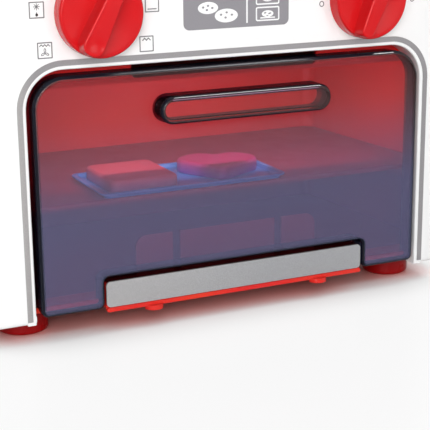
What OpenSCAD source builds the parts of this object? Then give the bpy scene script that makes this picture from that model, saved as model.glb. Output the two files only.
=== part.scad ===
// Toy oven: a free-standing play oven with a see-through drop-down door, two clicking
// knobs, a shelf, a tray and two pieces of play food.
// Millimetres. +X is to the right as seen from the front, +Y to the back and +Z up.
// The origin is the middle of the oven's outer box, on the surface that the feet stand on.

/* [Body] */
// Width of the body
body_w = 310; // [300:1:330]
// Height of the top above the table
body_top = 218; // [214:1:240]
// Depth from the front panel's face to the back
body_d = 178; // [174:1:220]
// Height of the body's lower edge above the table
body_low = 12; // [11:0.5:13]
// Wall of the white mouldings
shell_t = 3; // [2.5:0.1:3.5]
// Radius of the body's upper corners
top_r = 12; // [8:1:20]
// Radius of the body's lower corners
low_r = 6; // [5.5:0.5:8]
// Rounding of the front panel's outer edge
panel_edge = 3; // [2:0.5:3]
// Depth of the front panel's skirt
skirt_d = 14; // [13.5:0.5:16]

/* [Door opening] */
// Half width of the opening
open_x = 124; // [122:0.5:126]
// Height of the opening's upper edge
open_top = 152; // [150:0.5:155]
// Radius of the opening's upper corners
open_r = 21; // [18:1:24]
// Width of the silver line
line_w = 3.1; // [2:0.1:4]
// White strip between the opening and the silver line
line_gap = 2.1; // [1.5:0.1:3]

/* [Display] */
// Width of the display label
display_w = 65.4; // [50:1:80]
// Height of the display label
display_h = 25.4; // [20:0.5:30]

/* [Door] */
// Half width of the door
door_x = 121.3; // [120.5:0.1:122]
// Lower edge of the door
door_low = 15.6; // [14.5:0.1:15.6]
// Upper edge of the door
door_top = 148.8; // [146:0.2:149]
// Depth of the door's rim
door_d = 12.6; // [12.4:0.1:13.5]
// How far the door's face stands in front of the front panel's
door_proud = 2.8; // [2:0.1:3]
// Thickness of the door's face
door_skin = 2.2; // [1.8:0.1:2.5]
// Thickness of the door's rim
door_wall = 1.6; // [1.4:0.1:2]
// Radius of the door's upper corners
door_r = 18; // [15:1:20]
// Half width of the notch over the sill
notch_x = 84.2; // [84.2:0.1:85]
// Height of the notch's upper edge
notch_top = 33.6; // [33.6:0.1:36]
// Length of the handle at the door's face
handle_l = 107; // [100:1:120]
// Height of the handle at the door's face
handle_h = 16; // [15:0.5:18]
// Height of the handle's middle above the table
handle_z = 127.4; // [120:0.2:129]
// How far the handle stands out from the door
handle_out = 12.9; // [11:0.1:15]

/* [Hinge and sill] */
// Height of the hinge axis
hinge_z = 18; // [18:0.1:18.2]
// Depth of the hinge axis behind the front panel's face
hinge_y = 6.5; // [6.3:0.1:6.6]
// Diameter of the hinge rods
rod_d = 3.2; // [3:0.1:3.2]
// Half width of the sill
sill_x = 83.2; // [82.5:0.1:83.2]
// Top of the sill
sill_top = 31; // [30:0.1:31]
// Lower edge of the silver sill plate
sill_plate_low = 16; // [15.5:0.1:17]
// How far the silver sill plate stands in front of the front panel's face
sill_proud = 1.3; // [1:0.1:1.3]

/* [Knobs] */
// Distance of each knob from the middle
knob_x = 83.1; // [80:0.1:86]
// Height of the knobs' middle
knob_z = 181.2; // [180:0.1:184]
// Diameter of a knob
knob_d = 47; // [44:1:48]
// Thickness of a knob's disc
disc_t = 9.5; // [8:0.5:11]
// How far the grip stands out from the front panel
grip_out = 19; // [17:0.5:21]
// Diameter of a knob's shaft
shaft_d = 8; // [7:0.5:9]
// Turn of the left knob from pointing down
left_turn = -27; // [-180:1:180]
// Turn of the right knob from pointing down
right_turn = 156; // [-180:1:180]
// Number of clicks in a full turn
clicks = 12; // [12:4:16]

/* [Inside] */
// Half width of the liner at its mouth
liner_front_x = 144; // [142:0.5:145]
// Half width of the liner at its back
liner_back_x = 136.5; // [134:0.5:140]
// Depth of the liner's back wall
liner_back = 157; // [150:1:157]
// Wall of the liner
liner_t = 2; // [1.6:0.1:2.4]
// Top face of the shelf
shelf_z = 74; // [70:1:80]

/* [Tray and food] */
// Length of the tray
tray_l = 118.7; // [100:1:130]
// Width of the tray
tray_w = 60; // [56:1:64]
// Middle of the tray from the oven's middle
tray_x = -18.3; // [-30:1:0]
// Thickness of the play food
food_t = 8; // [6:0.5:10]

/* [Feet] */
// Diameter of a foot
foot_d = 29; // [24:1:30]
// Height of a foot
foot_h = 13; // [12.5:0.5:13]
// Distance of each foot from the middle
foot_x = 123; // [118:1:126]

/* [Hidden] */
$fn = 64;

half_w = body_w / 2;
// the outer box runs from the knobs' grips to the back cover, with the origin in its middle
front_y = (grip_out - body_d) / 2;
cover_t = 3.6;
foil_t = 0.3;
plate_t = 1.2;                     // the silver sill plate
base_t = 3;
base_z = foot_h;
seam = 0.5;                        // gap left between the white mouldings
running = 0.05;                    // radial clearance of a shaft in its hole
snug = 0.02;                       // radial clearance of a pin that stays put
return_t = 2.5;                    // wall that turns in round the door opening
return_d = 13.5;                   // it ends on the liner's flange
lug_t = 3;                         // lugs through which the front panel is screwed on
web = 5;                           // how far an edge profile reaches over a face
bush_d = 15;
bush_end = 8;
wheel_y = 8.5;                     // the click wheel starts here, behind the bush
wheel_t = 4;
wheel_r = 11;
valley_r = 8.6;
spigot_d = 6;
screw_d = 3;
screw_head_d = 6.5;
screw_head_t = 2.2;
head_sink = 2.4;                   // depth of the back cover's counterbores
boss_d = 8;
post_x = -17;                      // middle of the click spring's post, seen from its knob
post_z = 12;
panel_screw_x = 120;
panel_screw_z = body_top - 11;
cover_screw_x = half_w - 12;
cover_screw_zs = [body_low + 13, body_top - 12];
liner_screw_x = 100;
liner_screw_z = open_top + 9;
liner_spots = [[100, 62], [100, 138]];          // screws from below into the liner's bosses
post_spots = [[half_w - 8.5, 96], [half_w - 8.5, 152]];   // and into the housing's posts
foot_ys = [32, body_d - 32];
liner_front = 15.5;                // the liner's mouth
liner_r = 8;                       // upright corners at its back
flange_t = 2;
liner_low = 20;
liner_top = 142;
flange_top = open_top + 4;
shelf_t = 3;
shelf_front = 16;
threshold_x = 59;
threshold_top = 51;
tray_front = 14.5;
tray_h = 3.4;
food_z = shelf_z + 1.2;

// ---------- drawing tools ----------

// Stands a front-view drawing (x, z), extruded backwards, in its place behind the front face.
module upright(y = 0) {
    translate([0, front_y + y, 0]) mirror([0, 1, 0]) rotate([90, 0, 0]) children();
}

// Places a plan-view drawing (x, depth behind the front face), extruded upwards.
module flat_at(z = 0) {
    translate([0, front_y, z]) children();
}

function heading(a, b) = atan2(b[1] - a[1], b[0] - a[0]);
function half_turn_range(t) = t > 180 ? t - 360 : (t < -180 ? t + 360 : t);
function corner(path, i) = path[(i + len(path)) % len(path)];
function is_end(path, i, closed) = !closed && (i == 0 || i == len(path) - 1);
function turn_at(path, i, closed) = is_end(path, i, closed) ? 0
    : half_turn_range(heading(corner(path, i), corner(path, i + 1))
                      - heading(corner(path, i - 1), corner(path, i)));
function trim_at(path, i, closed) = corner(path, i)[2] * tan(abs(turn_at(path, i, closed)) / 2);
function run_length(path, i, closed) =
    norm([corner(path, i + 1)[0] - path[i][0], corner(path, i + 1)[1] - path[i][1]])
    - trim_at(path, i, closed) - trim_at(path, (i + 1) % len(path), closed);

// Runs a profile along a path of [x, y, corner radius], with the material on the path's left.
// The profile's x is the distance in from the path, and its y goes up.
module run_round(path, closed = true) {
    for (i = [0 : len(path) - 1]) {
        if ((closed || i < len(path) - 1) && run_length(path, i, closed) > 0.001)
            translate([path[i][0], path[i][1]]) rotate(heading(path[i], corner(path, i + 1)))
                translate([trim_at(path, i, closed), 0, 0]) rotate([90, 0, 90])
                    linear_extrude(run_length(path, i, closed)) children();
        turn = turn_at(path, i, closed);
        r = path[i][2];
        if (abs(turn) > 0.01 && r > 0)
            translate([path[i][0], path[i][1]]) rotate(heading(corner(path, i - 1), path[i]))
                translate([-trim_at(path, i, closed), sign(turn) * r, 0])
                    if (turn > 0)
                        rotate(-90) rotate_extrude(angle = turn)
                            translate([r, 0]) mirror([1, 0]) children();
                    else
                        rotate(90 + turn) rotate_extrude(angle = -turn)
                            translate([r, 0]) children();
    }
}

function box_path(x0, y0, x1, y1, r) = [[x0, y0, r], [x1, y0, r], [x1, y1, r], [x0, y1, r]];

// A rectangle with true round corners.
module round_rect(x0, y0, x1, y1, r) {
    translate([x0 + r, y0]) square([x1 - x0 - 2 * r, y1 - y0]);
    translate([x0, y0 + r]) square([x1 - x0, y1 - y0 - 2 * r]);
    for (x = [x0 + r, x1 - r], y = [y0 + r, y1 - r]) translate([x, y]) circle(r);
}

function body_path() = [[-half_w, body_low, low_r], [half_w, body_low, low_r],
                        [half_w, body_top, top_r], [-half_w, body_top, top_r]];

// The body's outline as seen from the front, drawn in by an inset.
module body_face(inset) {
    round_rect(inset - half_w, body_low + inset, half_w - inset, body_top - inset, top_r - inset);
    round_rect(inset - half_w, body_low + inset, half_w - inset, body_low + 3 * top_r, low_r - inset);
}

// Edge of a moulding: a wall of the given depth that turns into a face through a round edge.
module edge_profile(edge, wall, face, depth, reach) {
    intersection() {
        translate([edge, edge]) circle(edge);
        square(edge);
    }
    translate([0, edge]) square([wall, depth - edge]);
    translate([edge, 0]) square([reach - edge, face]);
}

// A screw along -Z with its head's top at z = 0.
module screw(length) {
    rotate_extrude() {
        translate([0, -length]) square([screw_d / 2, length]);
        translate([0, -screw_head_t]) square([screw_head_d / 2 - 0.6, screw_head_t]);
        translate([screw_head_d / 2 - 0.6, -screw_head_t]) square([0.6, screw_head_t - 0.6]);
        translate([screw_head_d / 2 - 0.6, -0.6]) intersection() {
            circle(0.6);
            square(0.6);
        }
    }
}

// ---------- white mouldings ----------

module front_panel() {
    outer = [[open_x, body_low, 0], [half_w, body_low, low_r], [half_w, body_top, top_r],
             [-half_w, body_top, top_r], [-half_w, body_low, low_r], [-open_x, body_low, 0]];
    opening = [[-open_x, body_low, 0], [-open_x, open_top, open_r],
               [open_x, open_top, open_r], [open_x, body_low, 0]];
    color("white") difference() {
        union() {
            upright() {
                run_round(outer, false) edge_profile(panel_edge, shell_t, shell_t, skirt_d, web);
                run_round(opening, false) edge_profile(1, return_t, shell_t, return_d, web);
                linear_extrude(shell_t) difference() {
                    body_face(panel_edge);
                    round_rect(-open_x - 2, body_low - open_r, open_x + 2, open_top + 2, open_r + 2);
                }
            }
            upright() for (side = [-1, 1]) {
                translate([side * knob_x, knob_z, 0]) cylinder(d = bush_d, h = bush_end);
                translate([side * knob_x + post_x, knob_z + post_z, 1])
                    cylinder(d = boss_d, h = wheel_y - 1);
                translate([side * panel_screw_x, panel_screw_z, 1])
                    cylinder(d = boss_d, h = skirt_d - 1);
                translate([side * liner_screw_x, liner_screw_z, 1])
                    cylinder(d = boss_d, h = return_d - 1);
                translate([side * (open_x + 1), hinge_z, hinge_y]) rotate([0, side * 90, 0])
                    cylinder(d = rod_d + 4, h = 6);
            }
        }
        upright() for (side = [-1, 1]) {
            translate([side * knob_x, knob_z, -1])
                cylinder(d = shaft_d + 2 * running, h = bush_end + 2);
            translate([side * knob_x + post_x, knob_z + post_z, wheel_y - 5])
                cylinder(d = screw_d, h = 6);
            translate([side * panel_screw_x, panel_screw_z, skirt_d - 9])
                cylinder(d = screw_d, h = 10);
            translate([side * liner_screw_x, liner_screw_z, return_d - 9])
                cylinder(d = screw_d, h = 10);
            translate([side * (open_x - 1), hinge_z, hinge_y]) rotate([0, side * 90, 0])
                cylinder(d = rod_d + 2 * snug, h = 6);
        }
    }
}

module silver_line() {
    inner = open_x + line_gap;
    line = [[-inner, body_low + line_gap, 0], [-inner, open_top + line_gap, open_r + line_gap],
            [inner, open_top + line_gap, open_r + line_gap], [inner, body_low + line_gap, 0]];
    color("silver") upright(-foil_t) run_round(line, false) square([line_w, foil_t]);
}

module display_label() {
    color("darkgray") upright(-foil_t) linear_extrude(foil_t)
        round_rect(-display_w / 2, knob_z - display_h / 2,
                   display_w / 2, knob_z + display_h / 2, 3.5);
}

module housing() {
    wall = [[half_w, body_low, 0], [half_w, body_top, top_r],
            [-half_w, body_top, top_r], [-half_w, body_low, 0]];
    start = skirt_d + seam;
    end = body_d - cover_t - seam;
    post_end = body_d - cover_t;   // the posts carry the back cover
    post_l = 14;
    foot_post_h = 12;              // and these stand on the base plate
    color("white") upright() difference() {
        union() {
            run_round(wall, false) translate([0, start]) square([shell_t, end - start]);
            for (side = [-1, 1]) {
                translate([side * panel_screw_x - 7, panel_screw_z - 6, skirt_d])
                    cube([14, 15, lug_t]);
                for (z = cover_screw_zs) {
                    translate([side * cover_screw_x, z, post_end - post_l])
                        cylinder(d = boss_d, h = post_l);
                    translate([side * (cover_screw_x + 5) - 5, z - 1.5, post_end - post_l])
                        cube([10, 3, post_l]);
                }
                for (spot = post_spots) translate([side * spot[0], base_z + base_t, spot[1]]) {
                    rotate([-90, 0, 0]) cylinder(d = boss_d, h = foot_post_h);
                    translate([side * 3.5 - 3.5, 0, -1.5]) cube([7, foot_post_h, 3]);
                }
            }
        }
        for (side = [-1, 1]) {
            translate([side * panel_screw_x, panel_screw_z, skirt_d - 1])
                cylinder(d = screw_d + 0.4, h = lug_t + 2);
            for (z = cover_screw_zs) translate([side * cover_screw_x, z, post_end - 10])
                cylinder(d = screw_d, h = 11);
            for (spot = post_spots) translate([side * spot[0], base_z + base_t - 1, spot[1]])
                rotate([-90, 0, 0]) cylinder(d = screw_d, h = 9);
        }
    }
}

module back_cover() {
    edge = 2.5;
    lip_h = 4;
    lip_x = half_w - shell_t - 0.3;
    lip_low = base_z + base_t + 2;
    lip_top = body_top - shell_t - 0.3;
    lip_r = top_r - shell_t - 0.3;
    lip = [[lip_x, lip_low, 0], [lip_x, lip_top, lip_r], [-lip_x, lip_top, lip_r], [-lip_x, lip_low, 0]];
    color("white") upright(body_d - cover_t) difference() {
        union() {
            // the face is turned to the back, so the edge profile is run upside down
            translate([0, 0, cover_t]) mirror([0, 0, 1]) {
                run_round(body_path()) edge_profile(edge, cover_t, cover_t, cover_t, web);
                linear_extrude(cover_t) body_face(edge);
            }
            // lip that finds the inside of the housing
            run_round(lip, false) translate([0, -lip_h]) square([1.5, lip_h + 0.5]);
        }
        // the lip leaves room for the housing's posts
        for (side = [-1, 1], z = cover_screw_zs) translate([side * cover_screw_x - 10, z - 5, -lip_h - 1])
            cube([20, 10, lip_h + 1]);
        for (side = [-1, 1], z = cover_screw_zs) translate([side * cover_screw_x, z, 0]) {
            translate([0, 0, -1]) cylinder(d = screw_d + 0.4, h = cover_t + 2);
            translate([0, 0, cover_t - head_sink]) cylinder(d = screw_head_d + 0.6, h = 3);
        }
    }
}

// ---------- base, feet and sill ----------

module base_plate() {
    side_x = half_w - shell_t - seam;
    front = liner_front + 1;
    back = body_d - cover_t;
    color("red") difference() {
        union() {
            flat_at(base_z) linear_extrude(base_t)
                round_rect(-side_x, front, side_x, back, 3);
            // tongue that carries the sill bar
            flat_at(base_z) translate([-sill_x + 4, 10.5, 0]) cube([2 * sill_x - 8, 8, base_t]);
        }
        flat_at(base_z) for (side = [-1, 1]) {
            for (y = foot_ys) translate([side * foot_x, y, -1])
                cylinder(d = 8 + 2 * snug, h = base_t + 2);
            for (spot = concat(liner_spots, post_spots)) translate([side * spot[0], spot[1], -1]) {
                cylinder(d = screw_d + 0.4, h = base_t + 2);
                cylinder(d = screw_head_d + 0.6, h = 2);
            }
        }
    }
}

module foot() {
    edge = 2;
    r = foot_d / 2;
    color("darkred") rotate_extrude() {
        translate([0, edge]) square([r, foot_h - edge]);
        square([r - edge, foot_h]);
        translate([r - edge, edge]) circle(edge);
        square([4, foot_h + base_t]);
    }
}

module foot_at(side, y) {
    flat_at() translate([side * foot_x, y, 0]) foot();
}

module front_left_foot() { foot_at(-1, foot_ys[0]); }
module front_right_foot() { foot_at(1, foot_ys[0]); }
module rear_left_foot() { foot_at(-1, foot_ys[1]); }
module rear_right_foot() { foot_at(1, foot_ys[1]); }

module sill_bar() {
    lip_low = sill_plate_low - 2.7;
    face = plate_t - sill_proud;   // the silver plate stands in front of the bar
    lip_face = -sill_proud - 0.4;
    back = 12;
    wall = 2;
    lug_x = 54;
    lug_r = 5.5;
    color("red") difference() {
        union() {
            // channel open to the back
            upright(face) {
                run_round(box_path(-sill_x, lip_low, sill_x, sill_top, 3))
                    square([wall, back - face]);
                linear_extrude(wall) round_rect(-sill_x + 1, lip_low + 1, sill_x - 1, sill_top - 1, 2);
                for (side = [-1, 1]) translate([side * (sill_x - 6) - 1, lip_low + 1, 1])
                    cube([2, sill_top - lip_low - 2, back - face - 1]);
            }
            // lip under the silver plate
            upright(lip_face) linear_extrude(3)
                round_rect(-sill_x, lip_low, sill_x, sill_plate_low - 0.2, 1);
            flat_at(lip_low - 2.1) for (side = [-1, 1]) translate([side * lug_x, lip_face + 2.5, 0])
                intersection() {
                    cylinder(r = lug_r, h = 2.8);
                    translate([-lug_r, -lug_r, 0]) cube([2 * lug_r, lug_r, 2.8]);
                }
        }
        // the base plate's tongue slides in from the back
        flat_at(base_z - 0.1) translate([-sill_x + 3.8, 10.3, 0])
            cube([2 * sill_x - 7.6, 9, base_t + 0.3]);
        upright() for (side = [-1, 1]) translate([side * (sill_x + 1), hinge_z, hinge_y])
            rotate([0, -side * 90, 0]) cylinder(d = rod_d + 2 * snug, h = 9);
    }
}

module sill_plate() {
    color("silver") upright(-sill_proud) linear_extrude(plate_t)
        round_rect(-sill_x, sill_plate_low, sill_x, sill_top, 2.5);
}

module hinge_rod(side) {
    start = sill_x - 7;
    color("red") upright() translate([side * start, hinge_z, hinge_y]) rotate([0, side * 90, 0])
        cylinder(d = rod_d, h = open_x + 4 - start);
}

module left_hinge_rod() { hinge_rod(-1); }
module right_hinge_rod() { hinge_rod(1); }

// ---------- door ----------

// Half section of the handle, with a little draft and a round front edge.
module handle_section(draft, edge) {
    r = handle_h / 2;
    polygon([[0, 1], [0, 0], [draft, edge - handle_out], [draft + edge, edge - handle_out],
             [draft + edge, -handle_out], [r, -handle_out], [r, 1]]);
    translate([draft + edge, edge - handle_out]) intersection() {
        circle(edge);
        translate([-edge, -edge]) square(edge);
    }
}

// Half section of the hollow inside the handle.
module hollow_section(draft, wall) {
    r = handle_h / 2;
    polygon([[wall, 4], [wall, 0], [wall + draft, wall + 1 - handle_out],
             [wall + draft + 1, wall - handle_out], [r, wall - handle_out], [r, 4]]);
}

module door() {
    edge = 3;
    ear_r = 4;
    notch_r = 3;
    draft = 0.3;
    outline = [[-door_x, door_low, ear_r], [-notch_x, door_low, ear_r], [-notch_x, notch_top, notch_r],
               [notch_x, notch_top, notch_r], [notch_x, door_low, ear_r], [door_x, door_low, ear_r],
               [door_x, door_top, door_r], [-door_x, door_top, door_r]];
    handle_path = box_path(-handle_l / 2, handle_z - handle_h / 2,
                           handle_l / 2, handle_z + handle_h / 2, handle_h / 2);
    color([0.35, 0.25, 0.5, 0.5]) difference() {
        upright(-door_proud) {
            run_round(outline) edge_profile(edge, door_wall, door_skin, door_d, edge + 0.6);
            linear_extrude(door_skin) difference() {
                union() {
                    round_rect(edge - door_x, door_low + edge,
                               door_x - edge, door_top - edge, door_r - edge);
                    round_rect(edge - door_x, door_low + edge, door_x - edge, handle_z, ear_r - edge);
                }
                round_rect(-notch_x - edge, 0, notch_x + edge, notch_top + edge, notch_r + edge);
            }
            run_round(handle_path) handle_section(draft, 2.5);
        }
        upright(-door_proud) run_round(handle_path) hollow_section(draft, 2);
        upright() translate([-half_w, hinge_z, hinge_y]) rotate([0, 90, 0])
            cylinder(d = rod_d + 2 * running, h = body_w);
    }
}

// ---------- knobs and click mechanism ----------

module at_knob(side, turn = 0) {
    upright() translate([side * knob_x, knob_z, 0]) rotate(turn) children();
}

// Profile of the grip's side: a drafted wall with a round upper edge, measured from the disc's face.
module grip_profile(height, edge, reach) {
    draft = 0.6;
    polygon([[-0.5, 0.5], [0, 0], [0, -0.1], [draft, edge - height], [draft + edge, -height],
             [reach, -height], [reach, 0.5]]);
    translate([draft + edge, edge - height]) circle(edge);
}

// Plan of the hollows behind a knob: a ring between the hub and the rim, crossed by ribs.
module ring_hollow(r) {
    rib = 1.4;
    difference() {
        circle(r - 2, $fn = 96);
        circle(d = shaft_d + 5);
        for (turn = [0, 60, 120]) rotate(turn) translate([-r, -rib / 2]) square([2 * r, rib]);
    }
}

module knob(side, turn) {
    r = knob_d / 2;
    gap = 0.5;
    rim = 1.6;
    dish = 0.8;                    // the disc's face is a little lower in its middle
    face = -disc_t - gap;
    wide = 7.1;
    narrow = 4.4;
    grip_h = grip_out - disc_t - gap;
    grip = [[-wide, -r, wide - 0.9], [wide, -r, wide - 0.9],
            [narrow, r, narrow - 0.4], [-narrow, r, narrow - 0.4]];
    color("red") at_knob(side, turn) difference() {
        union() {
            rotate_extrude($fn = 96) {
                polygon([[0, -gap], [r, -gap], [r, face + rim], [r - rim, face + rim], [r - rim, face],
                         [r - rim - 1, face], [shaft_d, face + dish], [0, face + dish]]);
                translate([r - rim, face + rim]) intersection() {
                    circle(rim);
                    translate([0, -rim]) square(rim);
                }
            }
            intersection() {
                union() {
                    translate([0, 0, face + dish + 0.4]) run_round(grip)
                        grip_profile(grip_h + dish + 0.4, 1.1, 3.6);
                    translate([0, 0, -grip_out]) linear_extrude(grip_h + dish + 0.8)
                        polygon([[-wide + 2.6, 2.6 - r], [wide - 2.6, 2.6 - r],
                                 [narrow - 2.4, r - 2.4], [2.4 - narrow, r - 2.4]]);
                }
                translate([0, 0, -grip_out - 1]) cylinder(r = r - 0.3, h = grip_out, $fn = 96);
            }
            translate([0, 0, -gap - 1]) cylinder(d = shaft_d, h = wheel_y + gap + 1);
            cylinder(d = spigot_d, h = wheel_y + wheel_t);
        }
        // moulded hollow behind, up into the grip
        translate([0, 0, face + 2.6]) linear_extrude(disc_t) ring_hollow(r);
        translate([0, 0, 2.8 - grip_out]) linear_extrude(grip_out - 3) difference() {
            polygon([[-wide + 3, 5 - r], [wide - 3, 5 - r], [narrow - 2.6, r - 5], [2.6 - narrow, r - 5]]);
            circle(d = shaft_d + 5);
        }
        // finger dimple at the pointing end
        translate([0, 7.4 - r, -grip_out - 15.2]) sphere(16, $fn = 96);
        translate([0, 0, wheel_y + wheel_t - 10]) cylinder(d = screw_d, h = 11);
    }
}

module left_knob() { knob(-1, left_turn); }
module right_knob() { knob(1, right_turn); }

function wheel_points() = [for (k = [0 : clicks - 1], part = [0 : 2])
    let (pitch = 360 / clicks, a = 90 + k * pitch + (part == 0 ? 0 : (part * 2 - 3) * 3 + pitch / 2),
         r = part == 0 ? valley_r : wheel_r) r * [cos(a), sin(a)]];

module click_wheel(side) {
    color("ivory") at_knob(side) translate([0, 0, wheel_y]) difference() {
        linear_extrude(wheel_t) polygon(wheel_points());
        translate([0, 0, -1]) cylinder(d = spigot_d + 2 * snug, h = wheel_t + 2);
    }
}

module left_click_wheel() { click_wheel(-1); }
module right_click_wheel() { click_wheel(1); }

module click_spring(side) {
    leaf_z = wheel_r + 0.5;
    leaf_t = 0.9;
    bump_r = 0.9;
    color("white") at_knob(side) translate([0, 0, wheel_y]) difference() {
        linear_extrude(wheel_t) {
            translate([post_x, post_z]) circle(d = boss_d);
            translate([post_x, leaf_z]) square([-post_x + bump_r, leaf_t]);
            translate([-bump_r, leaf_z - 1.2]) square([2 * bump_r, 1.3]);
            translate([0, leaf_z - 1.2]) circle(bump_r);
        }
        translate([post_x, post_z, -1]) cylinder(d = screw_d + 0.2, h = wheel_t + 2);
    }
}

module left_click_spring() { click_spring(-1); }
module right_click_spring() { click_spring(1); }

module knob_screw(side) {
    color("gray") at_knob(side) translate([0, 0, wheel_y + wheel_t + screw_head_t])
        screw(10);
}

module left_knob_screw() { knob_screw(-1); }
module right_knob_screw() { knob_screw(1); }

module spring_screws() {
    color("gray") for (side = [-1, 1]) at_knob(side)
        translate([post_x, post_z, wheel_y + wheel_t + screw_head_t]) screw(9);
}

module panel_screws() {
    color("gray") upright() for (side = [-1, 1])
        translate([side * panel_screw_x, panel_screw_z, skirt_d + lug_t + screw_head_t]) screw(11);
}

module liner_screws() {
    color("gray") upright() for (side = [-1, 1])
        translate([side * liner_screw_x, liner_screw_z, liner_front + screw_head_t]) screw(11);
}

module base_screws() {
    color("gray") flat_at(base_z + 1 - screw_head_t)
        for (side = [-1, 1], spot = concat(liner_spots, post_spots))
            translate([side * spot[0], spot[1], 0]) mirror([0, 0, 1]) screw(9);
}

module back_screws() {
    color("gray") upright(body_d - head_sink + screw_head_t) for (side = [-1, 1], z = cover_screw_zs)
        translate([side * cover_screw_x, z, 0]) screw(11);
}

// ---------- oven space ----------

// Plan of the oven space from a depth to its back wall, drawn out by a distance.
module liner_plan(out, from) {
    half = concat([[liner_front_x + out, from]],
                  [for (a = [0 : 15 : 90]) [liner_back_x - liner_r, liner_back - liner_r]
                                           + (liner_r + out) * [cos(a), sin(a)]]);
    polygon(concat(half, [for (i = [len(half) - 1 : -1 : 0]) [-half[i][0], half[i][1]]]));
}

module oven_liner() {
    front = liner_front - flange_t;
    mouth_top = liner_top - liner_t;
    boss_h = liner_low - base_z - base_t;
    slot_x = 33.5;
    slot_w = 5;
    color("red") difference() {
        union() {
            flat_at() {
                translate([0, 0, liner_low]) linear_extrude(liner_top - liner_low) difference() {
                    liner_plan(liner_t, liner_front - liner_t / 2);
                    liner_plan(0, liner_front - liner_t);
                }
                for (z = [liner_low, mouth_top]) translate([0, 0, z]) linear_extrude(liner_t)
                    liner_plan(liner_t / 2, liner_front - liner_t / 2);
            }
            // flange round the mouth, with a wide notch in its upper edge
            upright(front) linear_extrude(flange_t) difference() {
                translate([-liner_front_x - 6, liner_low - 3])
                    square([2 * liner_front_x + 12, flange_top - liner_low + 3]);
                translate([-liner_front_x, liner_low + liner_t])
                    square([2 * liner_front_x, mouth_top - liner_low - liner_t]);
                round_rect(-threshold_x, liner_top + 0.5, threshold_x, flange_top + 5, 3);
            }
            // tabs by which the flange is screwed to the front panel
            upright(front) for (side = [-1, 1]) translate([side * liner_screw_x, liner_screw_z, 0]) {
                cylinder(d = boss_d + 2, h = flange_t);
                translate([-boss_d / 2 - 1, -10, 0]) cube([boss_d + 2, 10, flange_t]);
            }
            // threshold behind the door: three upright panels with slots between them
            upright(front) linear_extrude(flange_t) difference() {
                round_rect(-threshold_x, liner_low - threshold_x / 2, threshold_x, threshold_top, 7);
                translate([-threshold_x - 1, liner_low - threshold_x])
                    square([2 * threshold_x + 2, threshold_x + 1]);
                for (side = [-1, 1])
                    translate([side * slot_x - slot_w / 2, liner_low + 5]) square([slot_w, threshold_top]);
            }
            // ledges that the shelf lies on
            flat_at(shelf_z - shelf_t - 3) for (side = [-1, 1]) linear_extrude(3)
                polygon([[side * (liner_front_x + 1), liner_front + 4],
                         [side * (liner_front_x - 5), liner_front + 4],
                         [side * (liner_back_x - 5), liner_back - 2],
                         [side * (liner_back_x + 1), liner_back - 2]]);
            // bosses for the base screws
            flat_at(base_z + base_t) for (side = [-1, 1], spot = liner_spots)
                translate([side * spot[0], spot[1], 0]) cylinder(d = boss_d, h = boss_h + 1);
        }
        flat_at(base_z + base_t - 1) for (side = [-1, 1], spot = liner_spots)
            translate([side * spot[0], spot[1], 0]) cylinder(d = screw_d, h = boss_h + 2);
        upright(front - 1) for (side = [-1, 1]) translate([side * liner_screw_x, liner_screw_z, 0])
            cylinder(d = screw_d + 0.4, h = flange_t + 2);
    }
}

module shelf() {
    gap = 0.6;
    bead = 1.5;
    front_x = liner_front_x - gap;
    back_x = liner_back_x - gap;
    back = liner_back - gap;
    color("red") flat_at(shelf_z) difference() {
        // the upper edge is round, so the edge profile is run upside down
        mirror([0, 0, 1]) {
            run_round(box_path(-front_x, shelf_front, front_x, back, 4))
                edge_profile(bead, 3.4, shelf_t, shelf_t, 3.4);
            linear_extrude(shelf_t)
                round_rect(-front_x + 2, shelf_front + 2, front_x - 2, back - 2, 2);
        }
        // the sides draw in towards the back, and the back corners clear the liner's
        for (side = [-1, 1]) translate([0, 0, -shelf_t - 1]) linear_extrude(shelf_t + 2)
            polygon([[side * front_x, shelf_front + 4], [side * (back_x - 0.4), back - 8],
                     [side * (back_x - 8), back + 1], [side * 200, back + 1],
                     [side * 200, shelf_front + 4]]);
    }
}

// ---------- tray and food ----------

module tray() {
    corner_r = 6;
    floor_t = 1.2;
    x0 = tray_x - tray_l / 2;
    x1 = tray_x + tray_l / 2;
    y0 = tray_front;
    y1 = tray_front + tray_w;
    color("royalblue") flat_at(shelf_z) {
        run_round(box_path(x0, y0, x1, y1, corner_r)) {
            polygon([[0.6, tray_h - 1.2], [2.2, tray_h - 1.2], [3.4, 0], [5.4, 0], [5.4, floor_t],
                     [4.3, floor_t], [3.2, tray_h], [0.6, tray_h]]);
            translate([0.6, tray_h - 0.6]) circle(0.6);
        }
        linear_extrude(floor_t) round_rect(x0 + 4, y0 + 4, x1 - 4, y1 - 4, corner_r - 4);
    }
}

// Profile of a play food's edge: round above and a little rounded below.
module food_profile(reach) {
    upper = 2.4;
    lower = 1;
    polygon([[lower, 0], [reach, 0], [reach, food_t], [upper, food_t], [upper, food_t - upper],
             [0, food_t - upper], [0, lower], [lower, lower]]);
    intersection() {
        translate([upper, food_t - upper]) circle(upper);
        translate([0, food_t - upper]) square(upper);
    }
    intersection() {
        translate([lower, lower]) circle(lower);
        square(lower);
    }
}

module square_food() {
    x0 = -70;
    x1 = -28;
    y0 = 20;
    y1 = 68;
    color("salmon") flat_at(food_z) {
        run_round(box_path(x0, y0, x1, y1, 5)) food_profile(4.2);
        linear_extrude(food_t) round_rect(x0 + 3, y0 + 3, x1 - 3, y1 - 3, 2);
    }
}

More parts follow.
